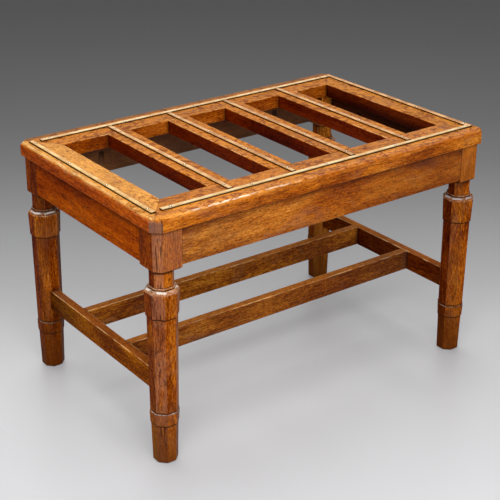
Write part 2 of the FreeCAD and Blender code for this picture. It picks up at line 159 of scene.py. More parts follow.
def old_hardwood():
    """The wood itself: figure, fibre, pores, stains, worn arrises with a painted highlight, and
    dirt with painted shade in corners.
    """
    tree = bpy.data.node_groups.new("old_hardwood", "ShaderNodeTree")
    for name, kind in (("Grain", "Vector"), ("Depth", "Float"), ("Wear", "Float"),
                       ("Faded_and_painted_light", "Color"), ("Rubbed_and_highlight", "Color"), ("Canted_sheen_and_shade", "Color"),
                       ("Ends", "Color"), ("Contrast", "Float")):
        tree.interface.new_socket(name, in_out="INPUT", socket_type="NodeSocket" + kind)
    for name, kind in (("Colour", "Color"), ("Roughness", "Float"), ("Normal", "Vector")):
        tree.interface.new_socket(name, in_out="OUTPUT", socket_type="NodeSocket" + kind)
    chosen = put(tree, "NodeGroupInput").outputs
    grain = chosen["Grain"]

    figure = streaks(tree, grain, 7.0, 42.0, 3.0, 0.55, 0.6)
    fibre = streaks(tree, grain, 46.0, 520.0, 2.0, 0.6)
    curl = streaks(tree, grain, 165.0, 420.0, 3.0, 0.65, 0.4)
    specks = streaks(tree, grain, 120.0, 430.0, 2.0, 0.55)
    pores = streaks(tree, grain, 60.0, 620.0, 2.0, 0.5)
    clouds = streaks(tree, grain, 10.0, 26.0, 3.0, 0.6, 0.6)
    smudges = streaks(tree, grain, 26.0, 60.0, 4.0, 0.7, 0.8)

    # Figure, fibre and curl together make the wood darker or lighter round its middle tone.
    middle_tone = 0.5
    tone = -middle_tone
    for marks, share in ((figure, 0.28), (fibre, 0.30), (curl, 0.42)):
        tone = add_share(tree, marks, share, tone)
    tone = add_share(tree, tone, chosen["Contrast"], middle_tone)
    broad = remap(tree, streaks(tree, grain, 5.0, 22.0, 3.0, 0.55, 0.5), 0.32, 0.68, -0.13, 0.13)
    tone = reckon(tree, "ADD", reckon(tree, "SUBTRACT", tone, chosen["Depth"]), broad)
    colour = graded(tree, tone, ((0.10, (0.12, 0.014, 0.001)), (0.34, (0.32, 0.060, 0.002)),
                                 (0.50, (0.52, 0.128, 0.006)), (0.66, (0.68, 0.200, 0.014)),
                                 (0.90, (0.90, 0.340, 0.040))))

    # Light has turned the upper faces golden, and their colour, set per piece, also carries
    # painted sheen and shade; the canted outer facets carry a painted sheen and shade of their
    # own.
    turned = facing(tree)
    upper = remap(tree, turned["Z"], 0.35, 0.9, 0.0, 0.72)
    patchy = remap(tree, curl, 0.32, 0.62, 0.45, 1.0)
    colour = mix_colour(tree, overlap(tree, upper, patchy), colour, chosen["Faded_and_painted_light"])
    # The canted facets get a colour set per piece: a painted grey-violet sheen where it is pale,
    # painted shade where it is dark.
    canted = remap(tree, unsigned(tree, slant(tree)), 0.30, 0.45, 0.0, 0.50)
    canted_patches = remap(tree, smudges, 0.36, 0.60, 0.3, 1.0)
    colour = mix_colour(tree, overlap(tree, canted, canted_patches), colour, chosen["Canted_sheen_and_shade"])
    # Faces towards the ends of the rack are multiplied by a colour set per piece, a painted shade
    # that makes them deeper and darker.
    ends = remap(tree, unsigned(tree, turned["X"]), 0.80, 0.92)
    colour = mix_colour(tree, ends, colour, chosen["Ends"], "MULTIPLY")

    # Bloom, where the old polish has gone hazy, but not on the ends of the rack.
    haze = remap(tree, streaks(tree, grain, 8.0, 20.0, 4.0, 0.65, 1.0), 0.52, 0.66, 0.0, 0.34)
    haze = overlap(tree, haze, reckon(tree, "SUBTRACT", 1.0, ends))
    colour = mix_colour(tree, haze, colour, (0.33, 0.13, 0.058))

    # Dark specks, open pores, stains and small nicks.
    speck = overlap(tree, remap(tree, specks, 0.58, 0.70, 0.0, 0.60),
                    remap(tree, upper, 0.2, 0.7, 1.0, 0.45))
    pore = remap(tree, pores, 0.57, 0.68, 0.0, 0.70)
    stain = remap(tree, clouds, 0.50, 0.72, 0.0, 0.45)
    dents = put(tree, "ShaderNodeTexVoronoi",
                {"Vector": drawn_out(tree, grain, 48.0, 74.0), "Scale": 1.0}).outputs[0]
    nick = overlap(tree, remap(tree, dents, 0.05, 0.14, 0.9, 0.0),
                   remap(tree, smudges, 0.49, 0.55))
    for marks, brown in ((speck, (0.10, 0.016, 0.002)), (pore, (0.08, 0.014, 0.002)),
                         (stain, (0.17, 0.034, 0.006)), (nick, (0.035, 0.009, 0.003))):
        colour = mix_colour(tree, marks, colour, brown)

    # The upper arrises are rubbed pale, in broken lines, and the pale line is also a painted
    # highlight.
    worn = put(tree, "ShaderNodeAttribute", attribute_name="worn").outputs["Fac"]
    crest = overlap(tree, remap(tree, turned["Z"], 0.55, 0.80),
                    remap(tree, turned["Z"], 0.93, 0.985, 1.0, 0.0))
    upright = remap(tree, turned["Z"], -0.2, 0.2, 0.0, 0.22)
    broken = overlap(
        tree, remap(tree, streaks(tree, grain, 34.0, 120.0, 4.0, 0.7), 0.40, 0.60, 0.05, 1.0),
        remap(tree, streaks(tree, grain, 6.0, 9.0, 2.0, 0.5), 0.36, 0.56, 0.45, 1.0))
    rubbed_and_highlight = overlap(tree, reckon(tree, "MAXIMUM", crest, upright), worn, broken, chosen["Wear"])
    colour = mix_colour(tree, rubbed_and_highlight, colour, chosen["Rubbed_and_highlight"])

    # Dirt and painted shade lie wide and thin round the corners, and narrow and thick in them.
    dirt_and_shade = reckon(tree, "MAXIMUM", corner_dirt_and_shade(tree, 0.014, 0.32, 0.92, 0.85), 0.0)
    dirt_and_shade = reckon(tree, "MAXIMUM", corner_dirt_and_shade(tree, 0.0026, 0.35, 0.95, 0.97), dirt_and_shade)
    colour = mix_colour(tree, dirt_and_shade, colour, (0.026, 0.008, 0.003))

    duller = 0.3
    rough = remap(tree, curl, 0.3, 0.7, 0.24, 0.46)
    for marks in (pore, dirt_and_shade, nick):
        rough = add_share(tree, marks, duller, rough)

    planed = streaks(tree, grain, 16.0, 34.0, 2.0, 0.5)
    bump = put(tree, "ShaderNodeBump", {"Strength": 0.5, "Distance": 0.0018, "Height": planed})
    bump = put(tree, "ShaderNodeBump", {"Strength": 0.5, "Distance": 0.0005, "Height": curl,
                                        "Normal": bump.outputs[0]})
    bump = put(tree, "ShaderNodeBump", {"Strength": 0.6, "Distance": 0.0004, "Height": pore,
                                        "Normal": bump.outputs[0]}, invert=True)
    put(tree, "NodeGroupOutput", {0: colour, 1: rough, 2: bump.outputs[0]})
    return tree


hardwood = old_hardwood()
quarter_turn = math.pi / 2
grain_turn = {"x": (0, 0, 0), "y": (0, 0, -quarter_turn), "z": (0, quarter_turn, 0)}


def blank_tree(owner):
    """The node tree of a new material or of the room, emptied."""
    owner.use_nodes = True
    owner.node_tree.nodes.clear()
    return owner.node_tree


pale_rubbed_highlight = (1.0, 0.62, 0.27)


def wood_finish(name, grain, shift, depth, wear, faded_and_painted_light, ends, gloss, polish=0.0, contrast=2.5,
                rubbed_and_highlight=pale_rubbed_highlight, canted_sheen_and_shade=(0.46, 0.17, 0.075)):
    """One piece of the wood, with its grain along an axis and its own place in the log."""
    material = bpy.data.materials.new(name)
    tree = blank_tree(material)
    along = put(tree, "ShaderNodeMapping", {"Vector": object_place(tree),
                                            "Rotation": grain_turn[grain], "Location": shift})
    wood = put(tree, "ShaderNodeGroup",
               {"Grain": along.outputs[0], "Depth": depth, "Wear": wear, "Faded_and_painted_light": faded_and_painted_light,
                "Rubbed_and_highlight": rubbed_and_highlight, "Canted_sheen_and_shade": canted_sheen_and_shade, "Ends": ends, "Contrast": contrast},
               node_tree=hardwood).outputs
    shader = put(tree, "ShaderNodeBsdfPrincipled",
                 {"Base Color": wood["Colour"], "Roughness": wood["Roughness"],
                  "Normal": wood["Normal"], "IOR": 1.45, "Specular IOR Level": gloss,
                  "Specular Tint": (1.0, 0.80, 0.60), "Coat Weight": polish,
                  "Coat Roughness": 0.12})
    put(tree, "ShaderNodeOutputMaterial", {0: shader.outputs[0]})
    return material


def over_colour(material, share_of, colour, kind="MIX"):
    """Lays a colour over part of a finish. share_of gives how much, from the place on the rack."""
    tree = material.node_tree
    shader = next(node for node in tree.nodes if node.type == "BSDF_PRINCIPLED")
    under = shader.inputs["Base Color"].links[0].from_socket
    place = put(tree, "ShaderNodeSeparateXYZ", {0: object_place(tree)}).outputs
    covered = mix_colour(tree, share_of(tree, place), under, colour, kind)
    tree.links.new(covered, shader.inputs["Base Color"])


def welded_copy(node):
    """The CAD mesh of a piece, with its loose triangles joined along their edges."""
    made = bmesh.new()
    made.from_mesh(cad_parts[node].data)
    bmesh.ops.remove_doubles(made, verts=made.verts, dist=1e-5)
    return made


def add_to_scene(name, data):
    added = bpy.data.objects.new(name, data)
    bpy.context.scene.collection.objects.link(added)
    return added


def fit_piece(name, made, finish, node, crisp):
    """Puts a mesh in the place of its CAD piece. Edges sharper than crisp degrees stay hard."""
    mesh = bpy.data.meshes.new(name)
    made.to_mesh(mesh)
    made.free()
    mesh.shade_smooth()
    mesh.set_sharp_from_angle(angle=math.radians(crisp))
    mesh.materials.append(finish)
    piece = add_to_scene(name, mesh)
    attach(piece, "root")
    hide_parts(node)
    return piece


def eased_piece(node, finish, arris):
    """The piece as it left the bench: its sharp corners eased by the plane and by wear."""
    flat_within, sharp_from = math.radians(1), math.radians(24)
    shortest_edge, narrow_face, rounding_steps = 0.006, 0.0022, 3
    made = welded_copy(node)
    bmesh.ops.dissolve_limit(made, angle_limit=flat_within, verts=made.verts, edges=made.edges)
    if arris > 0:
        sharp = [edge for edge in made.edges
                 if edge.is_manifold and edge.calc_face_angle_signed(0) > sharp_from
                 and edge.calc_length() > shortest_edge]
        bmesh.ops.bevel(made, geom=sharp, offset=arris, offset_type="OFFSET",
                        segments=rounding_steps, profile=0.5, affect="EDGES",
                        clamp_overlap=True)
    worn = made.faces.layers.float.new("worn")
    for face in made.faces:
        longest = max(edge.calc_length() for edge in face.edges)
        face[worn] = 1.0 if face.calc_area() / longest < narrow_face else 0.0
    piece = fit_piece(node + "_wood", made, finish, node, crisp=38)
    piece.modifiers.new("flat_faces", "WEIGHTED_NORMAL").keep_sharp = True


under_head, groove, under_collar = 0.3600, 0.3262, 0.2773
above_ring, ring_edge, under_ring = 0.1003, 0.0984, 0.0745


def foot_height(tree, place):
    """Mops and shoes have darkened the feet."""
    return remap(tree, place["Z"], 0.0, 0.16, 0.75, 0.0)


def shade_under_steps(tree, place):
    """A dark line of painted shade under the head, the collar and the ring, and above the ring."""
    share = 0.0
    for level, reach, amount in ((under_head, 0.0046, 0.75), (under_collar, 0.0025, 0.85),
                                 (above_ring, 0.0022, 0.65), (ring_edge, 0.0018, 0.50),
                                 (under_ring, 0.0025, 0.75)):
        away = away_from(tree, place["Z"], level)
        line = remap(tree, away, reach * 0.35, reach, amount, 0.0)
        share = reckon(tree, "MAXIMUM", line, share)
    return share


def painted_shoulder_highlight(tree, place):
    """A painted highlight on the shoulder in places, just below the groove."""
    noise = streaks(tree, object_place(tree), 55.0, 55.0, 2.0, 0.6)
    line = remap(tree, away_from(tree, place["Z"], groove), 0.0006, 0.0020, 0.85, 0.0)
    return overlap(tree, line, remap(tree, noise, 0.42, 0.54))


def head_sheen_and_tone(tree, place):
    """The heads take their own colour, a painted grey-violet sheen on the near leg, but not on the
    ends of the rack.
    """
    end = unsigned(tree, facing(tree)["X"])
    return overlap(tree, remap(tree, end, 0.85, 0.95, 1.0, 0.0),
                   remap(tree, place["Z"], 0.355, 0.366, 0.0, 0.34))


def seasoning_cracks(tree, place):
    """Short dark cracks run up the canted facets, where the surface dried first."""
    upward = put(tree, "ShaderNodeCombineXYZ", {0: place["Z"], 1: place["X"], 2: place["Y"]})
    cracks = streaks(tree, upward.outputs[0], 26.0, 330.0, 3.0, 0.6)
    return overlap(tree, remap(tree, cracks, 0.585, 0.625, 0.0, 0.8),
                   remap(tree, slant(tree), 0.30, 0.45))


def collar_band(tree, place):
    """The collar alone, painted darker on some legs and lighter on others, as painted light and
    shade.
    """
    return overlap(tree, remap(tree, place["Z"], 0.2765, 0.2785),
                   remap(tree, place["Z"], 0.3220, 0.3250, 1.0, 0.0))


def left_facet(tree, place):
    """The near leg is painted lighter on its left facet, from under the collar down, as painted
    light.
    """
    return overlap(tree, remap(tree, facing(tree)["X"], -0.95, -0.85, 1.0, 0.0),
                   remap(tree, place["Z"], 0.2550, 0.2750, 1.0, 0.0))


def square_foot_facets(tree, place):
    """Its ring and foot are painted lighter on the facets that stand square to the rack, as
    painted light.
    """
    return overlap(tree, remap(tree, unsigned(tree, slant(tree)), 0.10, 0.30, 1.0, 0.0),
                   remap(tree, place["Z"], 0.0975, 0.1040, 1.0, 0.0))


corners = ("front_left", "front_right", "back_left", "back_right")
leg_depth = {"front_left": 0.08, "front_right": 0.13, "back_left": 0.22, "back_right": -0.28}
collar_light_and_shade = {"front_left": (0.84, 0.82, 0.90), "front_right": (1.12, 1.25, 1.30),
              "back_left": (1.50, 1.75, 1.50), "back_right": (1.0, 1.0, 1.0)}
foot_grime, step_shade = (0.135, 0.032, 0.004), (0.045, 0.014, 0.005)
for step, corner in enumerate(corners):
    near, left = corner == "front_left", corner.endswith("left")
    # The near leg gets a pale painted highlight on its upper faces and a painted sheen on its
    # canted facets; the others are painted darker there as shade, and the right-hand legs darker
    # on their end faces too.
    finish = wood_finish(
        "leg_finish_" + corner, "z", (0.37 * step, 0.21 * step, 0.5), leg_depth[corner],
        wear=0.9, faded_and_painted_light=(0.78, 0.54, 0.33) if near else (0.30, 0.15, 0.07),
        ends=(0.76, 0.53, 0.05) if left else (0.43, 0.28, 0.04), gloss=0.02, contrast=3.0,
        rubbed_and_highlight=(0.98, 0.80, 0.56),
        canted_sheen_and_shade=(0.54, 0.225, 0.115) if near else (0.17, 0.056, 0.014))
    over_colour(finish, foot_height, foot_grime)
    if near:
        over_colour(finish, head_sheen_and_tone, (0.32, 0.135, 0.080))
        over_colour(finish, left_facet, (1.30, 1.70, 1.30), "MULTIPLY")
        over_colour(finish, square_foot_facets, (1.50, 1.75, 2.40), "MULTIPLY")
        over_colour(finish, seasoning_cracks, (0.045, 0.018, 0.010))
    if corner == "front_right":
        over_colour(finish, head_sheen_and_tone, (0.64, 0.21, 0.03))
    over_colour(finish, collar_band, collar_light_and_shade[corner], "MULTIPLY")
    # Painted shade under the steps.
    over_colour(finish, shade_under_steps, step_shade)
    over_colour(finish, painted_shoulder_highlight, (0.95, 0.88, 0.80) if left else (0.50, 0.45, 0.45))
    eased_piece("leg_" + corner, finish, arris=0.0011)

# Frieze rails. Four hardwood boards are tenoned between the leg heads. Their lower arrises are
# eased, and their inner faces have gouged pockets for the screws that hold the top.

frieze_bottom, under_moulding = 0.368, 0.433


def inner_face(tree, place):
    """The inner faces were left rough and bare, and are painted dark grey-brown, mostly as shade.
    """
    across, deep = (remap(tree, unsigned(tree, place[axis]), inside, outside, 1.0, 0.0)
                    for axis, inside, outside in (("X", 0.3600, 0.3606), ("Y", 0.2250, 0.2256)))
    return overlap(tree, across, deep, 0.75)


def shoulder_line(tree, place):
    """Wax has filled the fine gap where each rail's shoulder meets the leg."""
    lines = []
    for axis, clear, filled, shoulder, leg in (("X", 0.3100, 0.3112, 0.3125, 0.3126),
                                               ("Y", 0.1750, 0.1762, 0.1775, 0.1776)):
        out = unsigned(tree, place[axis])
        lines.append(overlap(tree, remap(tree, out, clear, filled),
                             remap(tree, out, shoulder, leg, 1.0, 0.0)))
    return overlap(tree, reckon(tree, "MAXIMUM", *lines), 0.8)


def painted_shade_bands(tree, place):
    """Painted shade close under the moulding, where the top overhangs, and along the lower arris.
    """
    low = remap(tree, place["Z"], frieze_bottom, 0.388, 0.35, 0.0)
    high = remap(tree, place["Z"], 0.412, under_moulding, 0.0, 0.80)
    return reckon(tree, "MAXIMUM", low, high)


def sheen_towards_left(tree, place):
    """The front rail is paler and greyer towards the left, a painted sheen."""
    return remap(tree, place["X"], -0.31, 0.02, 1.0, 0.0)


def shade_towards_right(tree, place):
    """The front rail is darker towards the right, a painted falloff of light."""
    return remap(tree, place["X"], -0.20, 0.30, 0.0, 0.75)


rails = ("front", "back", "left", "right")
for step, side in enumerate(rails):
    along, gloss = ("x", 0.12) if side in ("front", "back") else ("y", 0.01)
    # The faces towards the ends are painted a deeper red, as shade.
    finish = wood_finish("frieze_finish_" + side, along, (0.9 + 0.3 * step, 0.33 * step, 0.2),
                         depth=0.0, wear=0.5, faded_and_painted_light=(0.6, 0.24, 0.05),
                         ends=(1.06, 0.68, 0.10), gloss=gloss, contrast=2.1)
    over_colour(finish, painted_shade_bands, (0.48, 0.36, 0.30), "MULTIPLY")
    if side == "front":
        over_colour(finish, sheen_towards_left, (1.05, 1.42, 3.4), "MULTIPLY")
        over_colour(finish, shade_towards_right, (0.62, 0.58, 0.62), "MULTIPLY")
    over_colour(finish, inner_face, (0.085, 0.050, 0.029))
    if side == "right":
        # The right frieze's inner face is painted nearly black, as shade.
        over_colour(finish, inner_face, (0.05, 0.0, 0.0), "MULTIPLY")
    over_colour(finish, shoulder_line, (0.05, 0.014, 0.004))
    eased_piece("frieze_" + side, finish, arris=0.0005)

# Stretchers. One hardwood bar at each end is tenoned into the legs, and two long bars are
# tenoned between those. Their upper arrises are rubbed pale by feet and brooms, with a painted
# highlight.


def bar_sides(tree, place):
    """The upright sides of a bar."""
    return remap(tree, facing(tree)["Z"], 0.3, 0.6, 1.0, 0.0)


def dusty_sides(tree, place):
    """Grey dust has settled in the polish of the same sides."""
    return overlap(tree, bar_sides(tree, place), 0.13)


def far_end(tree, place):
    """The left bar is darker towards the back."""
    return overlap(tree, bar_sides(tree, place), remap(tree, place["Y"], 0.04, 0.12))


def right_end(tree, place):
    """The front bar is darker towards the right."""
    return remap(tree, place["X"], 0.14, 0.27)


# Upper and end colours of the end bars; the dark end colour of the right bar is painted shade.
bar_tops = {"end_stretcher_left": (0.28, 0.082, 0.010), "end_stretcher_right": (0.36, 0.12, 0.016)}
bar_ends = {"end_stretcher_left": (1.05, 1.20, 0.35), "end_stretcher_right": (0.36, 0.25, 0.12)}
for step, name in enumerate(("end_stretcher_left", "end_stretcher_right",
                             "long_stretcher_front", "long_stretcher_back")):
    along = "y" if name.startswith("end") else "x"
    finish = wood_finish(name + "_finish", along, (2.1 + 0.4 * step, 0.2 * step, 0.7),
                         depth=0.14, wear=1.0, faded_and_painted_light=bar_tops.get(name, (0.50, 0.19, 0.032)),
                         ends=bar_ends.get(name, (1.1, 0.80, 0.15)), gloss=0.01, contrast=2.8)
    if name == "end_stretcher_left":
        over_colour(finish, far_end, (0.48, 0.48, 0.45), "MULTIPLY")
    if name == "long_stretcher_front":
        # The front bar's sides are painted darker, as shade under the rack.
        over_colour(finish, bar_sides, (0.82, 0.92, 1.1), "MULTIPLY")
        over_colour(finish, right_end, (0.72, 0.74, 1.0), "MULTIPLY")
    if name == "long_stretcher_back":
        over_colour(finish, bar_sides, (1.14, 1.45, 1.3), "MULTIPLY")
    if name.startswith("long"):
        over_colour(finish, dusty_sides, (0.19, 0.105, 0.060))
    eased_piece(name, finish, arris=0.0)

# Top. Four moulded hardwood rails are mitred round a loose tongue at each canted corner, and
# four slats are tenoned across the opening. Wax and dirt lie in the mitres and on the flat, and
# painted shade darkens the gaps.

opening_x, opening_y = 0.310, 0.160
front_crest, shake = -0.2288, -0.3528


def inside_opening(tree, place):
    """The sides of the gaps are painted almost black, as shade."""
    return overlap(tree, remap(tree, unsigned(tree, place["X"]), 0.3105, 0.3110, 1.0, 0.0),
                   remap(tree, unsigned(tree, place["Y"]), 0.1595, 0.1605, 1.0, 0.0),
                   remap(tree, place["Z"], 0.4575, 0.4592, 1.0, 0.0))


def deep_in_gap(tree, place):
    """The last gap is blind behind the end frieze, and is painted from brown to black downwards,
    as shade.
    """
    return overlap(tree, inside_opening(tree, place),
                   remap(tree, place["Z"], 0.438, 0.457, 1.0, 0.0))


def brown_patches(tree, place):
    """Damp and dirty cases have left brown patches on the flat of the top."""
    spots = streaks(tree, object_place(tree), 62.0, 74.0, 4.0, 0.65, 0.8)
    return overlap(tree, remap(tree, spots, 0.49, 0.61), remap(tree, place["Z"], 0.4560, 0.4590))


def dirty_corner(tree, place):
    """The same patches on the left rail, but only near the corner at the front."""
    return overlap(tree, brown_patches(tree, place),
                   remap(tree, place["Y"], -0.17, -0.08, 1.0, 0.2))


def browner_crest(tree, place):
    """The front crest is painted browner from the middle to the right, a painted shade where its
    highlight fades.
    """
    return overlap(tree, remap(tree, place["Y"], -0.2255, -0.2235, 1.0, 0.0),
                   remap(tree, place["Z"], 0.4550, 0.4570), remap(tree, place["X"], -0.12, 0.02))


def inside_the_strip(tree, place):
    """The front rail is darker between its strip and the gaps, least at the right."""
    return overlap(tree, remap(tree, place["Y"], -0.2060, -0.2040),
                   remap(tree, place["X"], 0.18, 0.32, 1.0, 0.35))


def mitre_line(tree, place):
    """A hairline of old wax along each mitre, from the opening's corner to the canted one."""
    run_x, run_y = 0.783, 0.622
    beyond_x, beyond_y = (
        overlap(tree, reckon(tree, "SUBTRACT", unsigned(tree, place[axis]), edge), run)
        for axis, edge, run in (("X", opening_x, run_x), ("Y", opening_y, run_y)))
    return remap(tree, away_from(tree, beyond_x, beyond_y), 0.0002, 0.0009, 0.6, 0.0)


def outer_edge(tree, place):
    """The far edge is painted dark."""
    return remap(tree, place["Y"], 0.2160, 0.2175, 0.0, 0.55)


def painted_crest_highlight(tree, place):
    """A painted highlight, nearly white, along the front crest, most towards the left."""
    line = remap(tree, away_from(tree, place["Y"], front_crest), 0.0006, 0.0021, 0.85, 0.0)
    along = overlap(tree, remap(tree, place["X"], -0.33, -0.25),
                    remap(tree, place["X"], -0.22, 0.0, 1.0, 0.08))
    noise = streaks(tree, object_place(tree), 70.0, 400.0, 3.0, 0.6)
    return overlap(tree, line, along, remap(tree, noise, 0.44, 0.56))


def sheen_on_near_corner(tree, place):
    """The upright face of the near left corner is painted grey-violet, a painted sheen."""
    towards_corner = reckon(tree, "ADD", place["X"], place["Y"])
    return overlap(tree, remap(tree, towards_corner, -0.5835, -0.5870, 0.0, 0.85),
                   remap(tree, place["Z"], 0.4500, 0.4560, 1.0, 0.25))


def corner_shake(tree, place):
    """The near left corner has an open shake beside its canted end."""
    return overlap(tree, remap(tree, away_from(tree, place["X"], shake), 0.0005, 0.0013, 1.0, 0.0),
                   remap(tree, place["Y"], -0.2290, -0.2270, 1.0, 0.0),
                   remap(tree, place["Z"], 0.4555, 0.4580, 1.0, 0.0))


# The tops are golden from light, and paler where a painted sheen is laid into their colour.
rail_faded_and_painted_light = {"front": (0.93, 0.36, 0.042), "back": (0.76, 0.29, 0.040),
              "left": (1.0, 0.50, 0.11), "right": (0.80, 0.32, 0.036)}
for step, side in enumerate(rails):
    finish = wood_finish("top_rail_finish_" + side, "x" if side in ("front", "back") else "y",
                         (3.3 + 0.3 * step, 0.4 * step, 0.1), depth=0.0, wear=0.9,
                         faded_and_painted_light=rail_faded_and_painted_light[side], ends=(1.0, 0.58, 0.12),
                         gloss=0.08 if side == "front" else 0.03, contrast=2.3,
                         rubbed_and_highlight=(0.80, 0.36, 0.09) if side == "front" else pale_rubbed_highlight)
    opening_shade = (0.25, 0.19, 0.25) if side == "right" else (0.48, 0.24, 0.08)
    over_colour(finish, inside_opening, opening_shade, "MULTIPLY")
    patches = dirty_corner if side == "left" else brown_patches
    over_colour(finish, patches, (0.52, 0.36, 0.15), "MULTIPLY")
    if side == "right":
        over_colour(finish, deep_in_gap, (0.30, 0.22, 0.40), "MULTIPLY")
    over_colour(finish, mitre_line, (0.10, 0.030, 0.008))
    if side == "back":
        over_colour(finish, outer_edge, (0.16, 0.08, 0.035))
    if side == "front":
        over_colour(finish, inside_the_strip, (0.80, 0.73, 0.42), "MULTIPLY")
        over_colour(finish, browner_crest, (0.76, 0.58, 0.30), "MULTIPLY")
        over_colour(finish, corner_shake, (0.035, 0.010, 0.004))
        over_colour(finish, painted_crest_highlight, (1.0, 0.90, 0.74))
    if side in ("front", "left"):
        over_colour(finish, sheen_on_near_corner, (0.17, 0.088, 0.074))
    eased_piece("top_rail_" + side, finish, arris=0.0006)

tongue_finish = wood_finish("tongue_finish", "x", (5.0, 0.0, 0.0), depth=-0.1, wear=0.0,
                            faded_and_painted_light=(0.7, 0.42, 0.2), ends=(1.2, 0.8, 0.2), gloss=0.20,
                            polish=0.05)
for corner in corners:
    eased_piece("mitre_tongue_" + corner, tongue_finish, arris=0.0004)

slats = (1, 2, 3, 4)
for number in slats:
    finish = wood_finish("slat_finish_" + str(number), "y",
                         (4.1 + 0.3 * number, 0.2 * number, 0.4), depth=0.0, wear=0.9,
                         faded_and_painted_light=(0.78, 0.29, 0.034), ends=(1.0, 0.78, 0.32), gloss=0.03)
    # Painted shade on the sides of the gaps.
    over_colour(finish, inside_opening, (0.29, 0.13, 0.04), "MULTIPLY")
    over_colour(finish, brown_patches, (0.56, 0.43, 0.22), "MULTIPLY")
    eased_piece("slat_" + str(number), finish, arris=0.0)

# Brass strips. Drawn brass bars with a rounded upper edge, laid just inside the edge of the top
# and along each slat, where they take the wear of the cases. They are rubbed bright on top.


def brass_finish(name, bright, dull, polish=0.26):
    """Brass rubbed bright on top, with painted shade down its sides, and tarnish and painted shade
    in its corners.
    """
    material = bpy.data.materials.new(name)
    tree = blank_tree(material)
    clouds = put(tree, "ShaderNodeTexNoise", {"Vector": object_place(tree), "Scale": 34.0,
                                              "Detail": 5.0, "Roughness": 0.65}).outputs["Fac"]
    colour = mix_colour(tree, remap(tree, clouds, 0.40, 0.60), bright, dull)
    # The sides are painted nearly black, as shade.
    side = remap(tree, facing(tree)["Z"], 0.30, 0.80, 0.95, 0.0)
    colour = mix_colour(tree, side, colour, (0.048, 0.011, 0.001))
    dirt_and_shade = corner_dirt_and_shade(tree, 0.003, 0.5, 0.96, 0.85)
    colour = mix_colour(tree, dirt_and_shade, colour, (0.07, 0.035, 0.012))
    rough = add_share(tree, side, 0.3, remap(tree, clouds, 0.35, 0.65, polish, polish + 0.14))
    shader = put(tree, "ShaderNodeBsdfPrincipled",
                 {"Base Color": colour, "Roughness": rough, "Metallic": 1.0})
    put(tree, "ShaderNodeOutputMaterial", {0: shader.outputs[0]})
    return material


def loose_solids(node):
    """The points of each separate solid in a node."""
    made = welded_copy(node)
    seen, solids = set(), []
    for start in made.verts:
        if start in seen:
            continue
        seen.add(start)
        reached = [start]
        for vert in reached:
            for edge in vert.link_edges:
                other = edge.other_vert(vert)
                if other not in seen:
                    seen.add(other)
                    reached.append(other)
        solids.append([vert.co.copy() for vert in reached])
    made.free()
    return solids


def middle_of(points):
    return sum(points, Vector()) / len(points)


def pin_shadows(side):
    """A dark ring of painted shadow round each pin."""
    seats = [middle_of(points) for points in loose_solids("strip_pins_" + side)]

    def share_of(tree, place):
        share = 0.0
        for seat in seats:
            aside = reckon(tree, "SUBTRACT", place["X"], seat.x)
            ahead = reckon(tree, "SUBTRACT", place["Y"], seat.y)
            squares = reckon(tree, "ADD", reckon(tree, "MULTIPLY", aside, aside),
                             reckon(tree, "MULTIPLY", ahead, ahead))
            away = reckon(tree, "POWER", squares, 0.5)
            ring = remap(tree, away, 0.0022, 0.0034, 0.9, 0.0)
            share = reckon(tree, "MAXIMUM", ring, share)
        return share

    return share_of


strip_sides = rails + tuple("slat_" + str(number) for number in slats)
# Each strip's brightness is set on its own, the long strips paler than the cross strips, a painted
# difference in their reflections.
strip_brass = {"front": ((1.0, 0.75, 0.39), (0.84, 0.53, 0.22)),
               "back": ((1.0, 0.72, 0.37), (0.76, 0.47, 0.20)),
               "left": ((1.0, 0.66, 0.26), (0.76, 0.43, 0.14)),
               "slat_1": ((0.92, 0.56, 0.24), (0.66, 0.34, 0.12))}
for side in strip_sides:
    bright, dull = strip_brass.get(side, ((0.80, 0.43, 0.16), (0.54, 0.25, 0.08)))
    finish = brass_finish("brass_finish_" + side, bright, dull)
    over_colour(finish, pin_shadows(side), (0.06, 0.030, 0.010))
    eased_piece("brass_strip_" + side, finish, arris=0.0)

# Pins. Each strip is held down by a row of small brass pins with domed heads, driven through
# punched holes. Cases sliding over them have polished the heads bright.


def on_circle(radius, angle, height):
    return Vector((radius * math.cos(angle), radius * math.sin(angle), height))


def skin_rings(made, rings):
    """Joins each ring of points to the next with faces, and closes both ends."""
    sides = len(rings[0])
    for low, high in zip(rings, rings[1:]):
        for step in range(sides):
            after = (step + 1) % sides
            made.faces.new((low[step], low[after], high[after], high[step]))
    made.faces.new(rings[0][::-1])
    made.faces.new(rings[-1])


def turn_outline(made, outline, foot, axis, sides):
    """Adds a turned solid. The outline lists the radius and the place along the axis."""
    turn = axis.to_track_quat("Z", "Y")
    angles = [math.tau * step / sides for step in range(sides)]
    skin_rings(made, [[made.verts.new(foot + turn @ on_circle(radius, angle, place))
                       for angle in angles] for radius, place in outline])


pin_brass = brass_finish("pin_brass", (1.0, 0.90, 0.66), (0.98, 0.82, 0.54), polish=0.16)
head_radius, head_height, shank_radius, pin_sides = 0.0019, 0.0009, 0.0008, 14
dome = [(head_radius * math.cos(math.radians(angle)), head_height * math.sin(math.radians(angle)))
        for angle in (0, 20, 40, 60, 78)]
for side in strip_sides:
    made = bmesh.new()
    for points in loose_solids("strip_pins_" + side):
        middle = middle_of(points)
        low, high = min(p.z for p in points), max(p.z for p in points)
        seat = high - head_height
        stem = [(shank_radius / 4, low - seat), (shank_radius, low - seat + shank_radius * 2),
                (shank_radius, 0.0)]
        turn_outline(made, stem + dome, Vector((middle.x, middle.y, seat)), Vector((0, 0, 1)),
                     pin_sides)
    fit_piece("strip_pins_" + side + "_brass", made, pin_brass,
              "strip_pins_" + side, crisp=50)

# Pocket screws. Ten slotted iron wood screws lie in the pockets gouged inside the frieze and
# pull the top down. They are dull and brown with age.


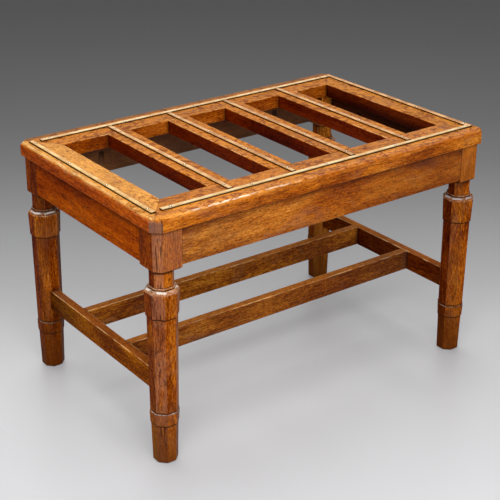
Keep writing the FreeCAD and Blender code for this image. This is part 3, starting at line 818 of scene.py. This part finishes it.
def old_iron():
    """Dull grey iron, blotched with brown rust."""
    material = bpy.data.materials.new("old_iron")
    tree = blank_tree(material)
    rust = put(tree, "ShaderNodeTexNoise",
               {"Vector": object_place(tree), "Scale": 700.0, "Detail": 5.0}).outputs["Fac"]
    colour = mix_colour(tree, remap(tree, rust, 0.42, 0.60), (0.30, 0.28, 0.26),
                        (0.13, 0.06, 0.03))
    bump = put(tree, "ShaderNodeBump", {"Strength": 0.4, "Distance": 0.0001, "Height": rust})
    shader = put(tree, "ShaderNodeBsdfPrincipled",
                 {"Base Color": colour, "Roughness": remap(tree, rust, 0.4, 0.6, 0.38, 0.75),
                  "Metallic": 1.0, "Normal": bump.outputs[0]})
    put(tree, "ShaderNodeOutputMaterial", {0: shader.outputs[0]})
    return material


def screw_thread(made, start, axis, core, crest, pitch, run):
    """Adds the ridge of the thread, a three-sided bar wound round the core."""
    turn = axis.to_track_quat("Z", "Y")
    steps_in_turn, tapered_turns, blunt_start = 16, 4, 0.3
    root, half_ridge = core * 0.8, pitch * 0.22
    rings = []
    for step in range(int(run / pitch * steps_in_turn)):
        angle, rise = math.tau * step / steps_in_turn, pitch * step / steps_in_turn
        taper = min(1.0, blunt_start + rise / (pitch * tapered_turns))
        rings.append([made.verts.new(start + turn @ on_circle(radius * taper, angle, rise + out))
                      for radius, out in ((root, -half_ridge), (crest, 0.0), (root, half_ridge))])
    skin_rings(made, rings)


def slotted_head(made, top, axis, radius, depth, slot_width, slot_depth):
    """Adds the countersunk head as two halves of a disc either side of the slot, on its floor."""
    turn = axis.to_track_quat("Z", "Y")
    arc_steps, round_sides = 12, 24
    cone = (radius - slot_width) / depth
    low_radius = radius - cone * slot_depth
    for side in (-1, 1):
        upper, lower = [], []
        for level, reach, row in ((0.0, radius, upper), (-slot_depth, low_radius, lower)):
            start = math.asin(slot_width / 2 / reach)
            for step in range(arc_steps + 1):
                angle = start + (math.pi - 2 * start) * step / arc_steps
                row.append(made.verts.new(top + turn @ on_circle(reach, side * angle, level)))
        made.faces.new(upper if side > 0 else upper[::-1])
        made.faces.new(lower[::-1] if side > 0 else lower)
        for step in range(arc_steps + 1):
            after = (step + 1) % (arc_steps + 1)
            face = (lower[step], lower[after], upper[after], upper[step])
            made.faces.new(face if side > 0 else face[::-1])
    turn_outline(made, [(slot_width, -depth), (low_radius, -slot_depth)], top, axis, round_sides)


shank, head, head_depth, slot_width, slot_depth = 0.0024, 0.0046, 0.0032, 0.0011, 0.0014
blunt_end, point_length, core, pitch = 0.0003, 0.006, shank * 0.66, 0.0021
threaded, core_share, shank_from = 0.62, 0.6, 0.66
tip_reach, rim_points, shank_sides = 0.002, 16, 16
made = bmesh.new()
for points in loose_solids("pocket_screws"):
    highest = max(points, key=lambda p: p.z)
    tip = middle_of([p for p in points if (p - highest).length < tip_reach])
    rim = sorted(points, key=lambda p: (p - tip).length)[-rim_points:]
    axis = (middle_of(rim) - tip).normalized()
    length = max((p - tip).dot(axis) for p in points)
    turn_outline(made, [(blunt_end, 0.0), (shank * 0.62, point_length),
                        (core, length * core_share), (shank, length * shank_from),
                        (shank, length - head_depth)], tip, axis, shank_sides)
    screw_thread(made, tip + axis * 0.001, axis, core, shank, pitch, length * threaded)
    slotted_head(made, tip + axis * length, axis, head, head_depth, slot_width, slot_depth)
bmesh.ops.recalc_face_normals(made, faces=made.faces)
fit_piece("pocket_screws_iron", made, old_iron(), "pocket_screws", crisp=35)

# Floor, light and camera. A sheet of pale paper runs back into the dark of the room, with its
# falloff of light painted into its colour and a painted glow. The main light comes from high above
# and a little behind, four soft boxes fill the shades, and the camera looks down on the near left
# corner.

paper_reach = 30.0
paper_mesh = bpy.data.meshes.new("floor")
paper_mesh.from_pydata([(-paper_reach, -paper_reach, 0), (paper_reach, -paper_reach, 0),
                        (paper_reach, paper_reach, 0), (-paper_reach, paper_reach, 0)],
                       [], [(0, 1, 2, 3)])
floor = add_to_scene("floor", paper_mesh)
floor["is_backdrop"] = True
paper = bpy.data.materials.new("floor_paper")
tree = blank_tree(paper)
way_back, nearest, farthest = (0.566, 0.825, 0.0), -0.5, 3.5
back_along = put(tree, "ShaderNodeVectorMath", {0: object_place(tree), 1: way_back},
                 operation="DOT_PRODUCT").outputs["Value"]
share_back = put(tree, "ShaderNodeMapRange", {0: back_along, 1: nearest, 2: farthest}).outputs[0]
# Painted falloff of light: each row has the distance back from the middle of the rack, the grey
# and its trace of blue.
painted_falloff = ((nearest, 0.69, 1.02), (-0.18, 0.69, 1.015), (-0.04, 0.645, 1.015), (0.13, 0.56, 1.015),
        (0.32, 0.45, 1.015), (0.53, 0.365, 1.015), (0.78, 0.265, 1.015), (1.07, 0.19, 1.015),
        (1.42, 0.145, 1.015), (1.84, 0.118, 1.015), (2.35, 0.096, 1.015), (farthest, 0.078, 1.0))
shade = graded(tree, share_back, [((distance - nearest) / (farthest - nearest),
                                   (grey, grey, grey * blue)) for distance, grey, blue in painted_falloff])
rays = put(tree, "ShaderNodeLightPath").outputs
seen = reckon(tree, "MAXIMUM", rays["Is Camera Ray"], rays["Is Glossy Ray"])
seen = reckon(tree, "MAXIMUM", seen, rays["Is Transmission Ray"])
# Camera, glossy and transmission rays see the paper with a painted glow; other light meets a
# darker grey.
lit = mix_colour(tree, 1.0, shade, (0.74, 0.74, 0.74), "MULTIPLY")
painted_glow = mix_colour(tree, 1.0, shade, (0.21, 0.21, 0.21), "MULTIPLY")
shader = put(tree, "ShaderNodeBsdfPrincipled",
             {"Base Color": mix_colour(tree, seen, (0.30, 0.30, 0.30), lit),
              "Emission Color": painted_glow, "Emission Strength": seen,
              "Roughness": 0.35, "Specular IOR Level": 0.2})
put(tree, "ShaderNodeOutputMaterial", {0: shader.outputs[0]})
paper_mesh.materials.append(paper)

room = bpy.data.worlds.new("studio")
bpy.context.scene.world = room
tree = blank_tree(room)
direction = put(tree, "ShaderNodeTexCoord").outputs["Generated"]
upward = put(tree, "ShaderNodeSeparateXYZ", {0: direction}).outputs["Z"]
ceiling = graded(tree, upward, ((0.0, (0.09, 0.09, 0.088)), (0.12, (0.10, 0.10, 0.10)),
                                (0.30, (0.15, 0.15, 0.15)), (0.60, (0.36, 0.36, 0.36)),
                                (1.0, (0.50, 0.50, 0.51))))
background = put(tree, "ShaderNodeBackground", {0: ceiling})
put(tree, "ShaderNodeOutputWorld", {0: background.outputs[0]})


def softbox(name, place, aim, width, height, watts):
    """A broad soft lamp at one place, turned towards another."""
    lamp = bpy.data.lights.new(name, "AREA")
    lamp.shape = "RECTANGLE"
    lamp.size, lamp.size_y, lamp.energy = width, height, watts
    holder = add_to_scene(name, lamp)
    holder.location = place
    holder.rotation_euler = (Vector(aim) - Vector(place)).to_track_quat("-Z", "Y").to_euler()


key = bpy.data.lights.new("key_light", "SUN")
key.energy, key.angle = 1.20, math.radians(40)
towards_key = Vector((0.08, 0.38, 0.92))
add_to_scene("key_light", key).rotation_euler = towards_key.to_track_quat("Z", "Y").to_euler()
softbox("key_softbox", (-0.75, -1.05, 1.40), (-0.2, 0, 0.4), 1.0, 0.5, watts=11)
softbox("fill_softbox", (-2.2, -1.5, 1.5), (-0.1, 0, 0.3), 1.2, 1.2, watts=9)
softbox("front_softbox", (-0.2, -2.2, 1.0), (0, 0, 0.3), 1.6, 1.0, watts=13)
softbox("back_softbox", (1.35, 1.95, 1.45), (0, 0, 0.45), 2.4, 1.2, watts=9)

view = bpy.data.cameras.new("camera")
view.lens, view.sensor_width = 88.67, 36.0
view.shift_x, view.shift_y = 0.10, -0.0882
stand = (-1.29596, -1.71221, 1.21301)
azimuth, elevation, roll = math.radians(-34.45), math.radians(22.64), math.radians(-0.61)
level = Vector((math.cos(azimuth), math.sin(azimuth), 0))
back = Vector((math.sin(azimuth) * math.cos(elevation), -math.cos(azimuth) * math.cos(elevation),
               math.sin(elevation)))
upright = back.cross(level)
right = level * math.cos(roll) + upright * math.sin(roll)
up = upright * math.cos(roll) - level * math.sin(roll)
camera = add_to_scene("camera", view)
camera.matrix_world = Matrix.Translation(stand) @ Matrix((right, up, back)).transposed().to_4x4()
bpy.context.scene.camera = camera
bpy.context.scene.view_settings.view_transform = "Standard"

low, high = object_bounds()
